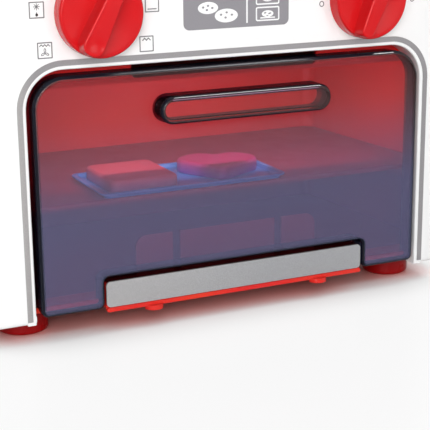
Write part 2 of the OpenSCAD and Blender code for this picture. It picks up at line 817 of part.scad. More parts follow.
module heart_food() {
    s = 28;                        // side of the square between the two lobes
    lobe_r = s / 2 - 2;
    // drawn with its point at the corner [0, 0] and its lobes over the two far sides
    outline = [[0, 0, 4], [1.5 * s, 0, lobe_r], [1.5 * s, s, lobe_r], [s, s, 2],
               [s, 1.5 * s, lobe_r], [0, 1.5 * s, lobe_r]];
    color("crimson") flat_at(food_z) translate([9, 46, 0]) rotate(45 - 18)
        translate([-0.62 * s, -0.62 * s, 0]) {
            run_round(outline) food_profile(3.9);
            linear_extrude(food_t) {
                round_rect(3, 3, 1.5 * s - 3, s - 3, lobe_r - 3);
                round_rect(3, 3, s - 3, 1.5 * s - 3, lobe_r - 3);
                translate([3, 3]) square(s - 4);
            }
        }
}

front_panel();
silver_line();
display_label();
housing();
back_cover();
base_plate();
front_left_foot();
front_right_foot();
rear_left_foot();
rear_right_foot();
oven_liner();
shelf();
door();
left_hinge_rod();
right_hinge_rod();
sill_bar();
sill_plate();
left_knob();
right_knob();
left_click_wheel();
right_click_wheel();
left_click_spring();
right_click_spring();
left_knob_screw();
right_knob_screw();
spring_screws();
panel_screws();
liner_screws();
base_screws();
back_screws();
tray();
square_food();
heart_food();
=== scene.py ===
import math
import bmesh
import bpy
from mathutils import Matrix, Quaternion, Vector


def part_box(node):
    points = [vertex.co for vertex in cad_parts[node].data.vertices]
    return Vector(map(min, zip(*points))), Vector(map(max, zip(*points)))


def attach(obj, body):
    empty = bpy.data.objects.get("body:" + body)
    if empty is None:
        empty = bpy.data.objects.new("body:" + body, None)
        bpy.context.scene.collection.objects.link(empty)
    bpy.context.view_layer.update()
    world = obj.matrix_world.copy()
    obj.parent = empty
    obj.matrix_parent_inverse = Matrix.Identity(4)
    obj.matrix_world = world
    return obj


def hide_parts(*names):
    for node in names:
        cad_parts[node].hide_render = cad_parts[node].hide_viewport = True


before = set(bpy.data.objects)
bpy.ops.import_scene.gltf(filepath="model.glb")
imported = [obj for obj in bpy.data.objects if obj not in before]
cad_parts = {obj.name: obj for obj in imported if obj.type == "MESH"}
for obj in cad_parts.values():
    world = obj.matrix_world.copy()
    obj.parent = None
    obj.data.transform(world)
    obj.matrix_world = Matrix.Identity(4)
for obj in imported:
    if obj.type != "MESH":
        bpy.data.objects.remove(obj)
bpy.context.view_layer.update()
mm = 0.001
print("frame loaded:", len(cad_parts), "nodes")

# the photograph's camera, found from the oven's straight edges
camera = {
    "place": (-0.306, -0.70095, 0.2465),
    "heading": 25.1,        # degrees to the right of straight back
    "tilt": 15.09,          # degrees downwards
    "roll": -0.64,
    "lens": 102.94,         # millimetres, as is the sensor's width
    "sensor": 36,
    "nearest": 0.05,
}

lighting = {
    "worldLight": 0.16,     # soft light from all round
    "lamps": {
        "keyLight": dict(place=(-1.05, -1.45, 0.46), aim=(0, -0.05, 0.10), size=(0.9, 0.7), power=9.3),
        "sideLight": dict(place=(0.75, -1.60, 0.44), aim=(0, -0.05, 0.10), size=(0.8, 0.7), power=4.5),
        "frontLight": dict(place=(-0.40, -1.10, 0.62), aim=(0, -0.05, 0.10), size=(0.6, 0.5), power=6.8),
        # a small one inside the compartment
        "ovenLight": dict(place=(0.015, -0.045, 0.112), aim=(0.02, 0.065, 0.104), size=(0.21, 0.05),
                          power=0.08),
        "backLight": dict(place=(-0.90, 1.25, 0.75), aim=(0, 0.08, 0.12), size=(0.9, 0.7), power=6.5),
        "farLight": dict(place=(1.10, 0.75, 0.85), aim=(0, 0.0, 0.12), size=(0.9, 0.7), power=6.0),
    },
    "cards": {              # bright cards that show only as highlights on glossy pieces
        "edgeCard": dict(place=(0.60, -0.26, 1.20), aim=(0, -0.10, 0.12), size=(0.34, 0.45), power=17.0),
    },
    "cardPieces": ["door", "tray", "left_knob", "right_knob"],
}

floorLook = {
    "size": 9.0,
    "colour": (0.93, 0.93, 0.93),
    "gloss": (0.22, 0.27),
    "glossSize": 80,                  # width of its dull and shiny patches, in millimetres
    "openTo": 0.07,                   # the oven shades the floor up to this distance
    "paintedRedBounce": (0.93, 0.36, 0.32),   # painted bounce light: the red underside shines on the floor close under it
    "closeWithin": (0.05, 0.45),      # openness at which that red starts to go, and where it is gone
    "glow": 0.88,                     # share of plain white that the camera sees where nothing stands close
    "glowWithin": (0.16, 0.70),       # openness at which that white starts, and where it is full
    "fade": (-0.40, -0.75),           # in mirror images the floor darkens between these places along Y
    "fadeLevel": 0.12,
}


# every surface is procedural and reads Object coordinates

def startMaterial(name):
    material = bpy.data.materials.new(name)
    material.use_nodes = True
    tree = material.node_tree
    place = tree.nodes.new("ShaderNodeTexCoord")
    return material, tree, tree.nodes["Principled BSDF"], place.outputs["Object"]


def addNoise(tree, place, size, detail=2.0):
    # size is the width of one lump in millimetres
    noise = tree.nodes.new("ShaderNodeTexNoise")
    noise.inputs["Scale"].default_value = 1000 / size
    noise.inputs["Detail"].default_value = detail
    tree.links.new(place, noise.inputs["Vector"])
    return noise.outputs["Fac"]


def spread(tree, value, low, high, fromLow=0.3, fromHigh=0.7):
    remap = tree.nodes.new("ShaderNodeMapRange")
    remap.inputs["From Min"].default_value = fromLow
    remap.inputs["From Max"].default_value = fromHigh
    remap.inputs["To Min"].default_value = low
    remap.inputs["To Max"].default_value = high
    tree.links.new(value, remap.inputs["Value"])
    return remap.outputs["Result"]


def blendColours(tree, factor, first, second):
    # each end is a plain colour or another node's output
    mix = tree.nodes.new("ShaderNodeMix")
    mix.data_type = "RGBA"
    for end, colour in (("A", first), ("B", second)):
        if isinstance(colour, tuple):
            mix.inputs[end].default_value = (*colour, 1)
        else:
            tree.links.new(colour, mix.inputs[end])
    tree.links.new(factor, mix.inputs["Factor"])
    return mix.outputs["Result"]


def mixShaders(tree, share, first, second):
    mix = tree.nodes.new("ShaderNodeMixShader")
    tree.links.new(share, mix.inputs["Fac"])
    tree.links.new(first, mix.inputs[1])
    tree.links.new(second, mix.inputs[2])
    return mix.outputs["Shader"]


def partOf(tree, vector, axis):
    split = tree.nodes.new("ShaderNodeSeparateXYZ")
    tree.links.new(vector, split.inputs["Vector"])
    return split.outputs[axis]


def combine(tree, operation, first, second=None, clamp=False):
    step = tree.nodes.new("ShaderNodeMath")
    step.operation = operation
    step.use_clamp = clamp
    tree.links.new(first, step.inputs[0])
    if second is not None:
        tree.links.new(second, step.inputs[1])
    return step.outputs["Value"]


def addBump(tree, height, depth, strength, under=None):
    # depth is in millimetres, and under is a bump that this one lies on
    bump = tree.nodes.new("ShaderNodeBump")
    bump.inputs["Distance"].default_value = depth * mm
    bump.inputs["Strength"].default_value = strength
    tree.links.new(height, bump.inputs["Height"])
    if under is not None:
        tree.links.new(under, bump.inputs["Normal"])
    return bump.outputs["Normal"]


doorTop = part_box("door")[1].z
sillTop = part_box("sill_bar")[1].z
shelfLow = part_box("shelf")[0].z
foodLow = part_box("square_food")[0].z

# peel is the width of the orange-peel lumps and grain that of the fine ones, in millimetres
# a zone is another tone by height: where it starts, where it is full, and the colour
plasticLooks = {
    "whiteShell": dict(colour=(0.90, 0.90, 0.895), flow=(0.86, 0.86, 0.86),
                       gloss=(0.20, 0.27), peel=5.0, peelDepth=0.05, grain=0.35),
    "redMoulding": dict(colour=(0.74, 0.035, 0.016), flow=(0.66, 0.012, 0.016),
                        # painted shade: the top of the sill bar darkens to near black, as the shade of the
                        # crevice under the door
                        zones=[(sillTop - 1.6 * mm, sillTop - 0.6 * mm, (0.04, 0.002, 0.003))],
                        gloss=(0.20, 0.28), peel=5.0, peelDepth=0.05, grain=0.35, mirror=0.25),
    "redKnob": dict(colour=(0.62, 0.006, 0.008), flow=(0.57, 0.005, 0.009),
                    gloss=(0.18, 0.25), peel=4.0, peelDepth=0.04, grain=0.3, mirror=0.22),
    "redOven": dict(colour=(0.70, 0.018, 0.014), flow=(0.64, 0.010, 0.012),
                    # painted light: above the door's top edge the liner is a brighter red, as light on the
                    # flange that shows above the door
                    zones=[(doorTop - 7 * mm, doorTop - 5.5 * mm, (0.98, 0.02, 0.02)),
                           # painted shade: below the shelf the liner darkens, as the shade of the lower
                           # compartment
                           (shelfLow - 6 * mm, shelfLow - 14 * mm, (0.30, 0.014, 0.014))],
                    gloss=(0.34, 0.44), peel=6.0, peelDepth=0.06, grain=0.4, mirror=0.25),
    # painted shade: the shelf is a darker copy of the oven's red
    "shadedRedShelf": dict(colour=(0.34, 0.018, 0.020), flow=(0.30, 0.012, 0.018),
                     gloss=(0.34, 0.44), peel=6.0, peelDepth=0.06, grain=0.4, mirror=0.25),
    # painted shade: the base plate's red is darkened, as the shade over its panels in the lower compartment
    "shadedRedBase": dict(colour=(0.18, 0.016, 0.014), flow=(0.16, 0.012, 0.014),
                    gloss=(0.24, 0.32), peel=5.0, peelDepth=0.05, grain=0.35, mirror=0.25),
    "darkRedFoot": dict(colour=(0.30, 0.003, 0.004), flow=(0.25, 0.003, 0.004),
                        gloss=(0.26, 0.34), peel=4.0, peelDepth=0.05, grain=0.4, mirror=0.15),
    "blueTray": dict(colour=(0.06, 0.42, 0.95), flow=(0.05, 0.36, 0.86),
                     gloss=(0.16, 0.22), peel=5.0, peelDepth=0.04, grain=0.3),
    "salmonFood": dict(colour=(0.80, 0.10, 0.08), flow=(0.72, 0.07, 0.07),
                       # painted bounce light: the food turns blue towards its foot, as the blue tray's
                       # light on its sides
                       zones=[(foodLow + 9 * mm, foodLow, (0.20, 0.17, 0.34))],
                       gloss=(0.38, 0.48), peel=3.0, peelDepth=0.08, grain=0.5),
    "crimsonFood": dict(colour=(0.62, 0.030, 0.10), flow=(0.54, 0.02, 0.09),
                        # painted bounce light: the food turns violet towards its foot, as the blue tray's
                        # light on its sides
                        zones=[(foodLow + 9 * mm, foodLow, (0.14, 0.03, 0.46))],
                        gloss=(0.36, 0.46), peel=3.0, peelDepth=0.08, grain=0.5),
    "naturalNylon": dict(colour=(0.80, 0.78, 0.70), flow=(0.72, 0.69, 0.60),
                         gloss=(0.40, 0.50), peel=2.0, peelDepth=0.03, grain=0.3),
    "greyLabel": dict(colour=(0.26, 0.25, 0.27), flow=(0.24, 0.23, 0.25),
                      gloss=(0.34, 0.42), peel=3.0, peelDepth=0.02, grain=0.2),
    "signInk": dict(colour=(0.15, 0.15, 0.155), flow=(0.20, 0.20, 0.205),
                    gloss=(0.42, 0.52), peel=1.5, peelDepth=0.01, grain=0.15),
    "displayInk": dict(colour=(0.90, 0.90, 0.90), flow=(0.85, 0.85, 0.86),
                       gloss=(0.40, 0.50), peel=1.5, peelDepth=0.01, grain=0.15),
}

# what all moulded pieces share, sizes in millimetres
mouldedSkin = {
    "flowSize": 45,
    "glossSize": 12,
    "peelStrength": 0.25,
    "grainDepth": 0.02,
    "grainStrength": 0.12,
    "bending": 1.49,
    "mirror": 0.5,          # for a look that names none
}


def mouldedPlastic(name, look):
    # a slow flow tone from the mould, an orange-peel waviness and a fine grain
    skin = mouldedSkin
    material, tree, shader, place = startMaterial(name)
    flow = addNoise(tree, place, skin["flowSize"], detail=3)
    colour = blendColours(tree, spread(tree, flow, 0, 1), look["colour"], look["flow"])
    # each zone paints a tone by height; the zones in use are painted shade, painted light and painted
    # bounce light
    for start, full, tone in look.get("zones", []):
        inside = spread(tree, partOf(tree, place, "Z"), 0, 1, start, full)
        colour = blendColours(tree, inside, colour, tone)
    tree.links.new(colour, shader.inputs["Base Color"])
    gloss = spread(tree, addNoise(tree, place, skin["glossSize"], detail=4), *look["gloss"])
    tree.links.new(gloss, shader.inputs["Roughness"])
    peel = addBump(tree, addNoise(tree, place, look["peel"], detail=1),
                   look["peelDepth"], skin["peelStrength"])
    grain = addNoise(tree, place, look["grain"], detail=2)
    tree.links.new(addBump(tree, grain, skin["grainDepth"], skin["grainStrength"], peel),
                   shader.inputs["Normal"])
    shader.inputs["IOR"].default_value = skin["bending"]
    shader.inputs["Specular IOR Level"].default_value = look.get("mirror", skin["mirror"])
    return material


# the tone changes from colour to far between the two places of fade along X: painted light and shade,
# lighter on the left that faces the key light
silverLooks = {
    "silverLine": dict(colour=(0.58, 0.56, 0.55), far=(0.33, 0.315, 0.325), fade=(-0.136, -0.118),
                       gloss=(0.28, 0.36), flakeSize=0.25),
    "silverPlate": dict(colour=(0.49, 0.485, 0.49), far=(0.39, 0.395, 0.41), fade=(-0.085, 0.02),
                        gloss=(0.30, 0.38), flakeSize=0.3),
}

silverSkin = {
    "flakeColour": (0.12, 0.12, 0.12),
    "flakeShare": 0.35,
    "flakeDepth": 0.01,
    "flakeStrength": 0.15,
    "glossSize": 9,
    "metal": 0.55,
}


def silverLacquer(name, look):
    # metal-pigment lacquer: small flakes that vary in tone and tilt
    skin = silverSkin
    material, tree, shader, place = startMaterial(name)
    flake = addNoise(tree, place, look["flakeSize"], detail=1)
    # painted light and shade: lighter on the left, darker beyond, along X
    along = spread(tree, partOf(tree, place, "X"), 0, 1, *look["fade"])
    tone = blendColours(tree, along, look["colour"], look["far"])
    flakes = blendColours(tree, spread(tree, flake, 0, skin["flakeShare"]), tone, skin["flakeColour"])
    tree.links.new(flakes, shader.inputs["Base Color"])
    gloss = spread(tree, addNoise(tree, place, skin["glossSize"], detail=3), *look["gloss"])
    tree.links.new(gloss, shader.inputs["Roughness"])
    tree.links.new(addBump(tree, flake, skin["flakeDepth"], skin["flakeStrength"]), shader.inputs["Normal"])
    shader.inputs["Metallic"].default_value = skin["metal"]
    return material


doorLook = {
    "takes": (0.06, 0.45, 0.16),       # share of each colour that the plastic takes away
    "depth": 300,                      # how strongly, for each metre of plastic
    "body": (0.215, 0.235, 0.40),
    "bodyTop": (0.34, 0.215, 0.20),    # painted reflection: warmer where it mirrors the dark room
    "edge": (0.004, 0.005, 0.012),     # the same seen along the surface, and in the rounded edges: painted shade, near black
    "edgeThrough": (0.20, 0.18, 0.26),  # painted shade: light left where the surface is seen nearly along itself
    "edgeCover": 0.94,                 # how opaque the rounded edges are
    "seenAlong": (0.22, 0.62),         # slant at which the dark starts, and where it is full
    "facesFront": (0.86, 0.97),        # share of the normal along Y: rounded below it, flat above it
    "facesSide": (0.06, 0.20),         # and here flat below it, rounded above it
    "haze": (0.25, 0.080),             # milkiness of the lower half and of the part above: partly the plastic's own, partly painted light where it grows towards the lower edge, for light gathered from the table, and painted shade where it dims the lower compartment
    "hazeHeights": (0.072, 0.125),     # it changes between these two
    "hazeFade": (0.126, 0.143),        # and thins out again towards the upper edge
    "hazeLeft": 0.40,
    "gloss": (0.03, 0.06),
    "glossSize": 14,
    "rimBelowTop": (5.5, 4.0),         # millimetres: the upper edge begins between these two
    "rimDull": 0.34,                   # the upper edge is duller
    "rimDullFade": (0.076, 0.090),     # but for its right end
    "waveSize": 18,
    "waveDepth": 0.10,
    "waveStrength": 0.12,
    "bending": 1.52,
    "mirror": 0.18,
}


def doorEdges(tree, place, look):
    # where the plastic is rounded over, and where it is painted dark for that or because it is seen along:
    # painted shade for the dark that refraction and the long path through the plastic show there
    slant = tree.nodes.new("ShaderNodeLayerWeight")
    slant.inputs["Blend"].default_value = 0.5
    frontal = combine(tree, "ABSOLUTE", partOf(tree, place.node.outputs["Normal"], "Y"))
    rounded = combine(tree, "MULTIPLY", spread(tree, frontal, 1, 0, *look["facesFront"]),
                      spread(tree, frontal, 0, 1, *look["facesSide"]))
    along = spread(tree, slant.outputs["Facing"], 0, 1, *look["seenAlong"])
    return rounded, combine(tree, "MAXIMUM", along, rounded)


def doorRoughness(tree, place, height, look):
    gloss = spread(tree, addNoise(tree, place, look["glossSize"], detail=3), *look["gloss"])
    low, high = (doorTop - below * mm for below in look["rimBelowTop"])
    dull = spread(tree, partOf(tree, place, "X"), look["rimDull"], 0, *look["rimDullFade"])
    rim = combine(tree, "MULTIPLY", spread(tree, height, 0, 1, low, high), dull)
    return combine(tree, "MAXIMUM", gloss, rim)


def doorCover(tree, height, rounded, look):
    # share of the light that the surface keeps from passing through; its haze by height and its near-opaque
    # rounded edges are partly painted light and shade
    haze = combine(tree, "MULTIPLY", spread(tree, height, *look["haze"], *look["hazeHeights"]),
                   spread(tree, height, 1, look["hazeLeft"], *look["hazeFade"]))
    glaze = tree.nodes.new("ShaderNodeFresnel")
    glaze.inputs["IOR"].default_value = look["bending"]
    milky = combine(tree, "ADD", glaze.outputs["Fac"], haze, clamp=True)
    return combine(tree, "MAXIMUM", milky, spread(tree, rounded, 0, look["edgeCover"], 0, 1))


def smokyPlastic(name, look):
    # see-through violet plastic: it darkens with the depth of plastic, and its rounded edges are painted
    # black as shade
    material, tree, shader, place = startMaterial(name)
    height = partOf(tree, place, "Z")
    rounded, dark = doorEdges(tree, place, look)
    # painted reflection: the haze is bluish below and warmer above, by height
    body = blendColours(tree, spread(tree, height, 0, 1, *look["hazeHeights"]), look["body"],
                        look["bodyTop"])
    tree.links.new(blendColours(tree, dark, body, look["edge"]), shader.inputs["Base Color"])
    tree.links.new(doorRoughness(tree, place, height, look), shader.inputs["Roughness"])
    wave = addBump(tree, addNoise(tree, place, look["waveSize"], detail=1),
                   look["waveDepth"], look["waveStrength"])
    tree.links.new(wave, shader.inputs["Normal"])
    shader.inputs["IOR"].default_value = look["bending"]
    shader.inputs["Specular IOR Level"].default_value = look["mirror"]
    clear = tree.nodes.new("ShaderNodeBsdfTransparent")
    tree.links.new(blendColours(tree, dark, (1.0, 1.0, 1.0), look["edgeThrough"]), clear.inputs["Color"])
    surface = mixShaders(tree, doorCover(tree, height, rounded, look),
                         clear.outputs["BSDF"], shader.outputs["BSDF"])
    tint = tree.nodes.new("ShaderNodeVolumeAbsorption")
    tint.inputs["Color"].default_value = (*(1 - c for c in look["takes"]), 1)
    tint.inputs["Density"].default_value = look["depth"]
    output = tree.nodes["Material Output"]
    tree.links.new(surface, output.inputs["Surface"])
    tree.links.new(tint.outputs["Volume"], output.inputs["Volume"])
    return material


steelLook = {               # sizes in millimetres
    "colour": (0.62, 0.62, 0.60),
    "stain": (0.48, 0.49, 0.50),
    "stainSize": 1.2,
    "gloss": (0.26, 0.42),
    "glossSize": 0.8,
    "grain": 0.4,
    "grainDepth": 0.01,
    "grainStrength": 0.2,
}


def zincSteel(name, look):
    material, tree, shader, place = startMaterial(name)
    stain = spread(tree, addNoise(tree, place, look["stainSize"], detail=3), 0, 1)
    tree.links.new(blendColours(tree, stain, look["colour"], look["stain"]), shader.inputs["Base Color"])
    gloss = spread(tree, addNoise(tree, place, look["glossSize"], detail=3), *look["gloss"])
    tree.links.new(gloss, shader.inputs["Roughness"])
    grain = addBump(tree, addNoise(tree, place, look["grain"], detail=2),
                    look["grainDepth"], look["grainStrength"])
    tree.links.new(grain, shader.inputs["Normal"])
    shader.inputs["Metallic"].default_value = 1.0
    return material


materials = {name: mouldedPlastic(name, look) for name, look in plasticLooks.items()}
for name, look in silverLooks.items():
    materials[name] = silverLacquer(name, look)
materials["smokyDoor"] = smokyPlastic("smokyDoor", doorLook)
materials["zincSteel"] = zincSteel("zincSteel", steelLook)
print("materials made:", len(materials))

finishes = {
    "whiteShell": ["front_panel", "housing", "back_cover"],
    "redMoulding": ["sill_bar", "left_hinge_rod", "right_hinge_rod"],
    "shadedRedBase": ["base_plate"],
    "redKnob": ["left_knob", "right_knob"],
    "redOven": ["oven_liner"],
    "shadedRedShelf": ["shelf"],
    "darkRedFoot": ["front_left_foot", "front_right_foot", "rear_left_foot", "rear_right_foot"],
    "smokyDoor": ["door"],
    "silverLine": ["silver_line"],
    "silverPlate": ["sill_plate"],
    "greyLabel": ["display_label"],
    "blueTray": ["tray"],
    "salmonFood": ["square_food"],
    "crimsonFood": ["heart_food"],
    "naturalNylon": ["left_click_wheel", "right_click_wheel", "left_click_spring", "right_click_spring"],
    "zincSteel": ["left_knob_screw", "right_knob_screw", "spring_screws", "panel_screws",
                  "liner_screws", "base_screws", "back_screws"],
}
for finish, nodes in finishes.items():
    for node in nodes:
        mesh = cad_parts[node].data
        mesh.materials.clear()
        mesh.materials.append(materials[finish])
print("finishes laid on the packed nodes")


def makePiece(name, sheet, material, body):
    # turns a finished bmesh into a piece that rides on a body
    mesh = bpy.data.meshes.new(name)
    sheet.to_mesh(mesh)
    sheet.free()
    mesh.materials.append(materials[material])
    piece = bpy.data.objects.new(name, mesh)
    bpy.context.scene.collection.objects.link(piece)
    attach(piece, body)
    return piece


# the screws that show have a cross recess; sizes in millimetres
screwLook = {
    "headRadius": 3.25,
    "headHeight": 2.2,
    "rounding": 0.6,
    "shaftRadius": 1.5,
    "sides": 24,
    "crossReach": 2.0,
    "crossWidth": 0.9,
    "crossDepth": 1.3,
    "crossTaper": 0.6,      # size of the recess at its floor, as a share of its mouth
    "turnStep": 37,         # degrees that each screw is turned further than the last
}


def findPieces(node):
    # the box of each separate solid in a node of several
    sheet = bmesh.new()
    sheet.from_mesh(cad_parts[node].data)
    bmesh.ops.remove_doubles(sheet, verts=sheet.verts[:], dist=0.001 * mm)
    left, boxes = set(sheet.verts), []
    while left:
        found, edge = set(), {next(iter(left))}
        while edge:
            found |= edge
            edge = {link.other_vert(vert) for vert in edge for link in vert.link_edges} - found
        left -= found
        boxes.append([[pick(vert.co[i] for vert in found) for i in range(3)] for pick in (min, max)])
    sheet.free()
    return sorted(boxes)


def drawOut(sheet, edges, scale, level):
    # extrudes a ring of edges, drawn in or out by scale and brought to a level
    made = bmesh.ops.extrude_edge_only(sheet, edges=edges)["geom"]
    verts = [item for item in made if isinstance(item, bmesh.types.BMVert)]
    for vert in verts:
        vert.co.x *= scale
        vert.co.y *= scale
        vert.co.z = level
    ring = set(verts)
    return [item for item in made if isinstance(item, bmesh.types.BMEdge) and set(item.verts) <= ring]


def drawCross(screw, reach, arm):
    # the outline of a cross, cut out of a grid of three by three
    bmesh.ops.create_grid(screw, x_segments=3, y_segments=3, size=reach)
    for vert in screw.verts:
        for axis in (0, 1):
            if abs(vert.co[axis]) < reach / 2:
                vert.co[axis] = math.copysign(arm, vert.co[axis])
    corners = [face for face in screw.faces if min(abs(face.calc_center_median()[i]) for i in (0, 1)) > arm]
    bmesh.ops.delete(screw, geom=corners, context="FACES")
    inner = [edge for edge in screw.edges if len(edge.link_faces) == 2]
    bmesh.ops.delete(screw, geom=inner, context="EDGES_FACES")
    return screw.edges[:]


def addScrew(sheet, look, length, place):
    # drawn with the top of its head at z = 0 and its shaft downwards
    screw = bmesh.new()
    cross = drawCross(screw, look["crossReach"], look["crossWidth"] / 2)
    outer, rounding = look["headRadius"], look["rounding"]
    ring = bmesh.ops.create_circle(screw, segments=look["sides"], radius=outer - rounding)
    rim = list({edge for vert in ring["verts"] for edge in vert.link_edges})
    bmesh.ops.bridge_loops(screw, edges=cross + rim)
    floor = drawOut(screw, cross, look["crossTaper"], -look["crossDepth"])
    bmesh.ops.contextual_create(screw, geom=floor)
    rim = drawOut(screw, rim, outer / (outer - rounding), -rounding)
    rim = drawOut(screw, rim, 1, -look["headHeight"])
    rim = drawOut(screw, rim, look["shaftRadius"] / outer, -look["headHeight"])
    rim = drawOut(screw, rim, 1, -length)
    bmesh.ops.contextual_create(screw, geom=rim)
    bmesh.ops.recalc_face_normals(screw, faces=screw.faces[:])
    bmesh.ops.transform(screw, matrix=place, verts=screw.verts[:])
    part = bpy.data.meshes.new("screw")
    screw.to_mesh(part)
    screw.free()
    sheet.from_mesh(part)
    bpy.data.meshes.remove(part)


def replaceScrews(name, node, axis, end, facing):
    # axis and end pick the side of each box where the head is, and facing turns the head that way
    sheet = bmesh.new()
    for number, box in enumerate(findPieces(node)):
        middle = [(low + high) / 2 for low, high in zip(*box)]
        length = (box[1][axis] - box[0][axis]) / mm
        middle[axis] = box[end][axis]
        place = (Matrix.Translation(middle) @ Matrix.Rotation(math.radians(facing), 4, "X")
                 @ Matrix.Rotation(math.radians(screwLook["turnStep"] * number), 4, "Z")
                 @ Matrix.Diagonal((mm, mm, mm, 1)))
        addScrew(sheet, screwLook, length, place)
    piece = makePiece(name, sheet, "zincSteel", "root")
    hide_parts(node)


replaceScrews("backScrews", "back_screws", axis=1, end=1, facing=-90)
replaceScrews("baseScrews", "base_screws", axis=2, end=0, facing=180)
print("screws made with their cross recess")


# the printed signs are flat shapes drawn in the front view, (x, z) in millimetres

def upright(x, z, turn=0.0, wide=1.0, high=1.0):
    # places a shape drawn in its own XY plane so that it faces the front
    return (Matrix.Translation((x * mm, 0, z * mm)) @ Matrix.Rotation(math.radians(-turn), 4, "Y")
            @ Matrix.Rotation(math.radians(90), 4, "X") @ Matrix.Diagonal((wide * mm, high * mm, mm, 1)))


strokeEnds = 0.7            # a stroke is longer than its line by this share of its width


def addBar(sheet, start, end, width):
    length = math.dist(start, end) + width * strokeEnds
    middle = ((start[0] + end[0]) / 2, (start[1] + end[1]) / 2)
    turn = math.degrees(math.atan2(end[1] - start[1], end[0] - start[0]))
    bmesh.ops.create_grid(sheet, x_segments=1, y_segments=1, size=0.5,
                          matrix=upright(*middle, turn, length, width))


def addLevelBar(sheet, x, z, reach, width):
    addBar(sheet, (x - reach, z), (x + reach, z), width)


def addOval(sheet, x, z, wide, high, turn=0.0, sides=32):
    made = bmesh.ops.create_circle(sheet, cap_ends=True, segments=sides, radius=0.5,
                                   matrix=upright(x, z, turn, wide, high))
    return list({face for vert in made["verts"] for face in vert.link_faces})


def openUp(sheet, faces, width):
    # leaves only a rim of the given width of each face
    bmesh.ops.inset_individual(sheet, faces=faces, thickness=width * mm, use_even_offset=True)
    bmesh.ops.delete(sheet, geom=faces, context="FACES")


def addFrame(sheet, x, z, wide, high, width, corner):
    made = bmesh.ops.create_grid(sheet, x_segments=1, y_segments=1, size=0.5,
                                 matrix=upright(x, z, 0, wide, high))
    rounded = bmesh.ops.bevel(sheet, geom=made["verts"], affect="VERTICES", offset=corner * mm,
                              segments=3, profile=0.5, material=-1)
    faces = list({face for vert in rounded["verts"] for face in vert.link_faces})
    openUp(sheet, faces, width)


def addZigzag(sheet, x, z, wide, high, teeth, width):
    points = [(x - wide / 2 + wide * i / (2 * teeth), z - high / 2 + (high if i % 2 else 0))
              for i in range(2 * teeth + 1)]
    for start, end in zip(points, points[1:]):
        addBar(sheet, start, end, width)


def addSpokes(sheet, x, z, turns, wide, high, width):
    # strokes through one middle, each reaching out to an oval
    for turn in turns:
        dx = wide * math.cos(math.radians(turn))
        dz = high * math.sin(math.radians(turn))
        addBar(sheet, (x - dx, z - dz), (x + dx, z + dz), width)


fanBlade = {                # as shares of the fan's reach
    "middle": 0.5,
    "long": 0.95,
    "wide": 0.52,
}


def addFan(sheet, x, z, reach, width):
    for turn in (90, 210, 330):
        bladeX = x + reach * fanBlade["middle"] * math.cos(math.radians(turn))
        bladeZ = z + reach * fanBlade["middle"] * math.sin(math.radians(turn))
        blade = addOval(sheet, bladeX, bladeZ, reach * fanBlade["long"], reach * fanBlade["wide"],
                        turn, sides=20)
        openUp(sheet, blade, width)


dropShape = {
    "bellyDown": 0.2,       # share of its height that the belly lies below the middle
    "bellyHigh": 1.05,      # as a share of its width, as is the next
    "tipWide": 0.92,
}


def addDrop(sheet, x, z, wide, high):
    belly = z - high * dropShape["bellyDown"]
    addOval(sheet, x, belly, wide, wide * dropShape["bellyHigh"], sides=20)
    faces = addOval(sheet, x, belly, wide * dropShape["tipWide"], wide, sides=4)
    top = max((vert for face in faces for vert in face.verts), key=lambda vert: vert.co.z)
    top.co.z = (z + high * 0.5) * mm


def finishPrint(name, sheet, faceY, thickness, material):
    # gives the flat shapes their thickness of ink and lays them on the face behind them
    made = bmesh.ops.extrude_face_region(sheet, geom=sheet.faces[:])
    raised = [item for item in made["geom"] if isinstance(item, bmesh.types.BMVert)]
    bmesh.ops.translate(sheet, verts=raised, vec=(0, -thickness * mm, 0))
    bmesh.ops.translate(sheet, verts=sheet.verts[:], vec=(0, faceY, 0))
    bmesh.ops.recalc_face_normals(sheet, faces=sheet.faces[:])
    makePiece(name, sheet, material, "root")


# up is how far a shape stands above the middle of its frame
knobSigns = {
    "ink": 0.05,
    "line": 0.62,
    "frameSize": (8.3, 8.7),
    "corner": 0.4,
    "fanPlace": (-112.3, 162.9),
    "grillPlace": (-54.8, 162.8),
    "thawPlace": (-115.8, 184.1),
    "bottomHeatPlace": (-51.1, 184.0),
    "bothHeatPlace": (-111.3, 204.2),
    "fanOnlyPlace": (-54.9, 204.2),
    "fanGrill": dict(up=2.6, wide=5.6, high=0.9, teeth=3, width=0.5),
    "grill": dict(up=2.5, wide=4.4, high=1.1, teeth=2, width=0.62),
    "fan": dict(up=-1.3, reach=2.6, width=0.42),
    "fanAlone": dict(up=-0.4, reach=3.0, width=0.42),
    "star": dict(up=1.7, wide=1.7, high=1.7, width=0.4),
    "starTurns": (0, 45, 90, 135),
    "drop": dict(up=-2.1, wide=1.5, high=2.4),
    "heatUp": 2.6,
    "heatReach": 2.4,
    "ringXs": (54.5, 116.6),
    "ringZ": 178.8,
    "ringSize": (3.2, 3.4),
    "ringWidth": 0.55,
}


def drawIn(add, sheet, place, shape, *extra):
    # draws a shape of the settings in its frame
    sizes = {key: value for key, value in shape.items() if key != "up"}
    add(sheet, place[0], place[1] + shape["up"], *extra, **sizes)


